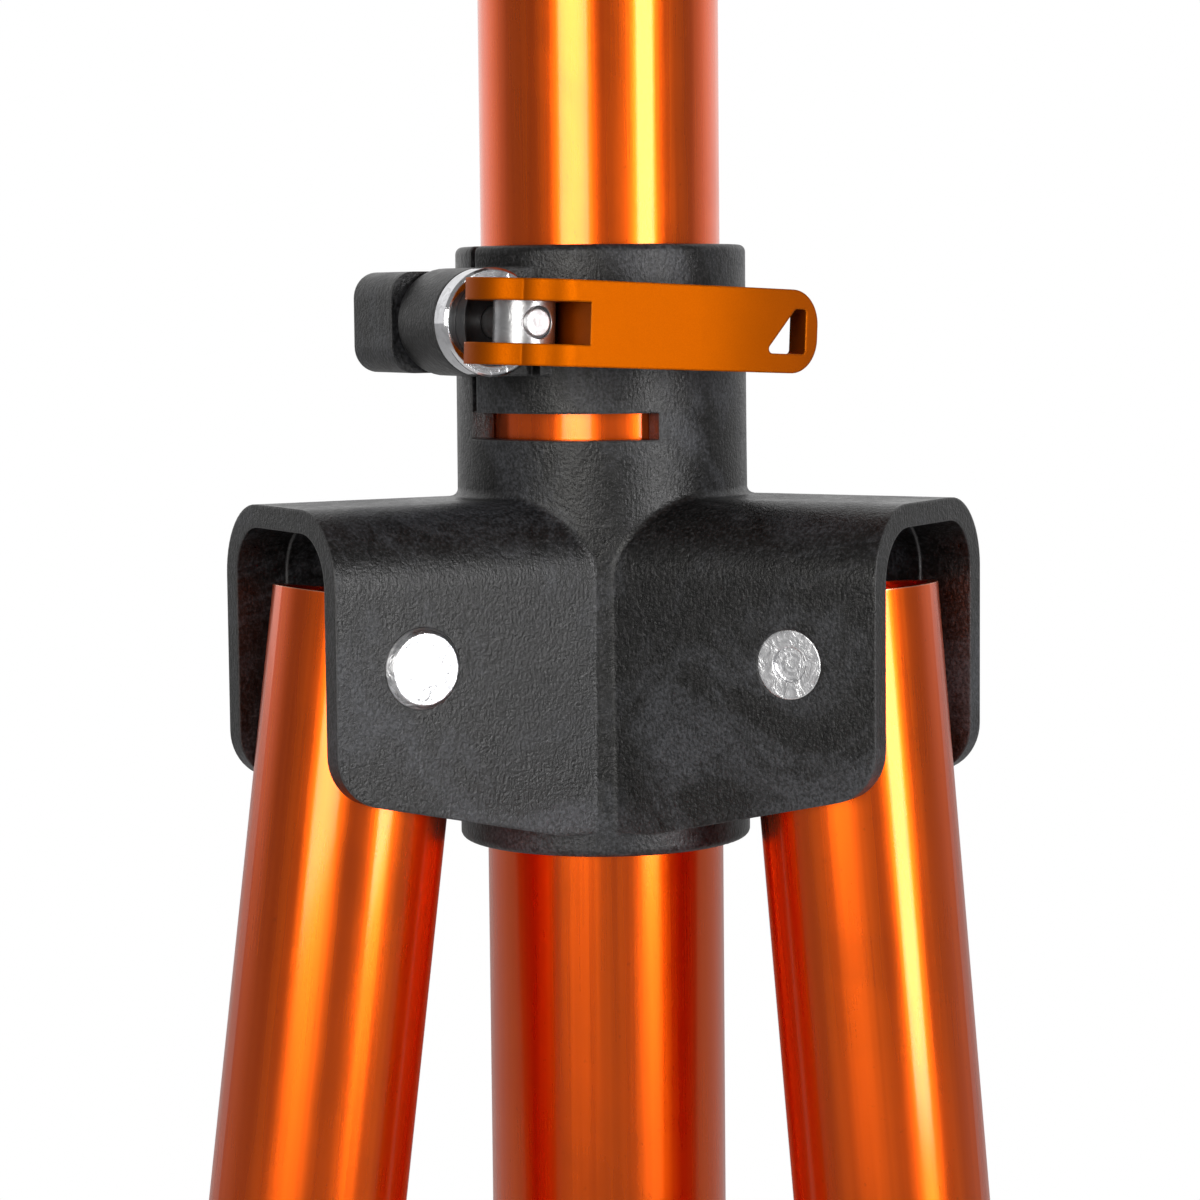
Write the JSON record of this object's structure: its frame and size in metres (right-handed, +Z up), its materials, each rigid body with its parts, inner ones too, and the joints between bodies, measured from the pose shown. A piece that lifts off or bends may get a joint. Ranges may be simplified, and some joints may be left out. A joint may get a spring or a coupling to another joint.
{
  "type": "surveyor tripod",
  "caption": "Surveyor tripod with an elevating tube column, a moulded three-yoke hub, cam-lever clamps, telescopic round legs with pointed feet and a flat head with an instrument stud.",
  "frame": {"origin": "base of the instrument stud, at the centre of the head plate's top face, on the column's axis", "axes": "+Z up along the column; one leg points along +Y, and the hub's cam lever faces -Y"},
  "size_m": [0.3414, 0.3095, 1.275],
  "materials": {
    "orange_anodised": "satin orange anodised, brushed along the tube",
    "orange_satin": "bead-blasted orange anodised",
    "black_nylon": "glass-filled nylon, lightly mottled",
    "black_acetal": "smooth black",
    "polished_steel": "polished",
    "zinc_steel": "turned, zinc plated",
    "turned_steel": "turned",
    "cast_aluminium": "cast, black powder coat"
  },
  "bodies": {
    "hub": {"hub_casting": "black_nylon", "pivot_pin_left": "polished_steel", "pivot_pin_right": "polished_steel", "pivot_pin_rear": "polished_steel", "hub_rod": "zinc_steel", "hub_nut": "zinc_steel", "hub_washer": "polished_steel", "hub_saddle": "black_acetal", "hub_barrel_nut": "zinc_steel"},
    "hub_lever": {"hub_lever": "orange_satin"},
    "column": {"column_tube": "orange_anodised", "column_end_cap": "black_acetal", "head_neck": "cast_aluminium", "head_plate": "cast_aluminium", "instrument_stud": "turned_steel", "head_screws": "zinc_steel"},
    "leg_left": {"upper_leg_tube_left": "orange_anodised", "leg_pivot_insert_left": "black_acetal", "leg_collar_left": "black_nylon", "leg_clamp_left_rod": "zinc_steel", "leg_clamp_left_nut": "zinc_steel", "leg_clamp_left_washer": "polished_steel", "leg_clamp_left_saddle": "black_acetal", "leg_clamp_left_barrel_nut": "zinc_steel"},
    "leg_lever_left": {"leg_clamp_left_lever": "orange_satin"},
    "lower_leg_left": {"lower_leg_tube_left": "orange_anodised", "lower_leg_glide_left": "black_acetal", "foot_shoe_left": "cast_aluminium", "foot_point_left": "turned_steel"},
    "leg_right": {"upper_leg_tube_right": "orange_anodised", "leg_pivot_insert_right": "black_acetal", "leg_collar_right": "black_nylon", "leg_clamp_right_rod": "zinc_steel", "leg_clamp_right_nut": "zinc_steel", "leg_clamp_right_washer": "polished_steel", "leg_clamp_right_saddle": "black_acetal", "leg_clamp_right_barrel_nut": "zinc_steel"},
    "leg_lever_right": {"leg_clamp_right_lever": "orange_satin"},
    "lower_leg_right": {"lower_leg_tube_right": "orange_anodised", "lower_leg_glide_right": "black_acetal", "foot_shoe_right": "cast_aluminium", "foot_point_right": "turned_steel"},
    "leg_rear": {"upper_leg_tube_rear": "orange_anodised", "leg_pivot_insert_rear": "black_acetal", "leg_collar_rear": "black_nylon", "leg_clamp_rear_rod": "zinc_steel", "leg_clamp_rear_nut": "zinc_steel", "leg_clamp_rear_washer": "polished_steel", "leg_clamp_rear_saddle": "black_acetal", "leg_clamp_rear_barrel_nut": "zinc_steel"},
    "leg_lever_rear": {"leg_clamp_rear_lever": "orange_satin"},
    "lower_leg_rear": {"lower_leg_tube_rear": "orange_anodised", "lower_leg_glide_rear": "black_acetal", "foot_shoe_rear": "cast_aluminium", "foot_point_rear": "turned_steel"}
  },
  "joints": [
    {"name": "column_slide", "type": "slide", "parent": "hub", "child": "column", "axis": [0, 0, 1], "range_m": [-0.15, 0.28]},
    {"name": "hub_lever_pivot", "type": "hinge", "parent": "hub", "child": "hub_lever", "pos_m": [-0.01221, -0.03846, -0.1993], "axis": [-0.0393, -0.0227, -0.999], "range_deg": [0, 110]},
    {"name": "leg_spread_left", "type": "hinge", "parent": "hub", "child": "leg_left", "pos_m": [-0.03898, -0.0225, -0.2533], "axis": [-0.5, 0.866, 0], "range_deg": [-7.7, 17.3]},
    {"name": "leg_extend_left", "type": "slide", "parent": "leg_left", "child": "lower_leg_left", "axis": [-0.116, -0.067, -0.991], "range_m": [0, 0.44]},
    {"name": "leg_lever_pivot_left", "type": "hinge", "parent": "leg_left", "child": "leg_lever_left", "pos_m": [-0.14298, -0.10703, -1.04844], "axis": [-0.116, -0.067, -0.991], "range_deg": [0, 110]},
    {"name": "leg_spread_right", "type": "hinge", "parent": "hub", "child": "leg_right", "pos_m": [0.03898, -0.0225, -0.2533], "axis": [-0.5, -0.866, 0], "range_deg": [-5.2, 19.8]},
    {"name": "leg_extend_right", "type": "slide", "parent": "leg_right", "child": "lower_leg_right", "axis": [0.0785, -0.0453, -0.9959], "range_m": [0, 0.44]},
    {"name": "leg_lever_pivot_right", "type": "hinge", "parent": "leg_right", "child": "leg_lever_right", "pos_m": [0.13403, -0.0529, -1.05345], "axis": [0.0785, -0.0453, -0.9959], "range_deg": [0, 110]},
    {"name": "leg_spread_rear", "type": "hinge", "parent": "hub", "child": "leg_rear", "pos_m": [0, 0.045, -0.2533], "axis": [1, 0, 0], "range_deg": [-6.4, 18.6]},
    {"name": "leg_extend_rear", "type": "slide", "parent": "leg_rear", "child": "lower_leg_rear", "axis": [0, 0.1115, -0.9938], "range_m": [0, 0.44]},
    {"name": "leg_lever_pivot_rear", "type": "hinge", "parent": "leg_rear", "child": "leg_lever_rear", "pos_m": [-0.0212, 0.15926, -1.05124], "axis": [0, 0.1115, -0.9938], "range_deg": [0, 110]}
  ]
}
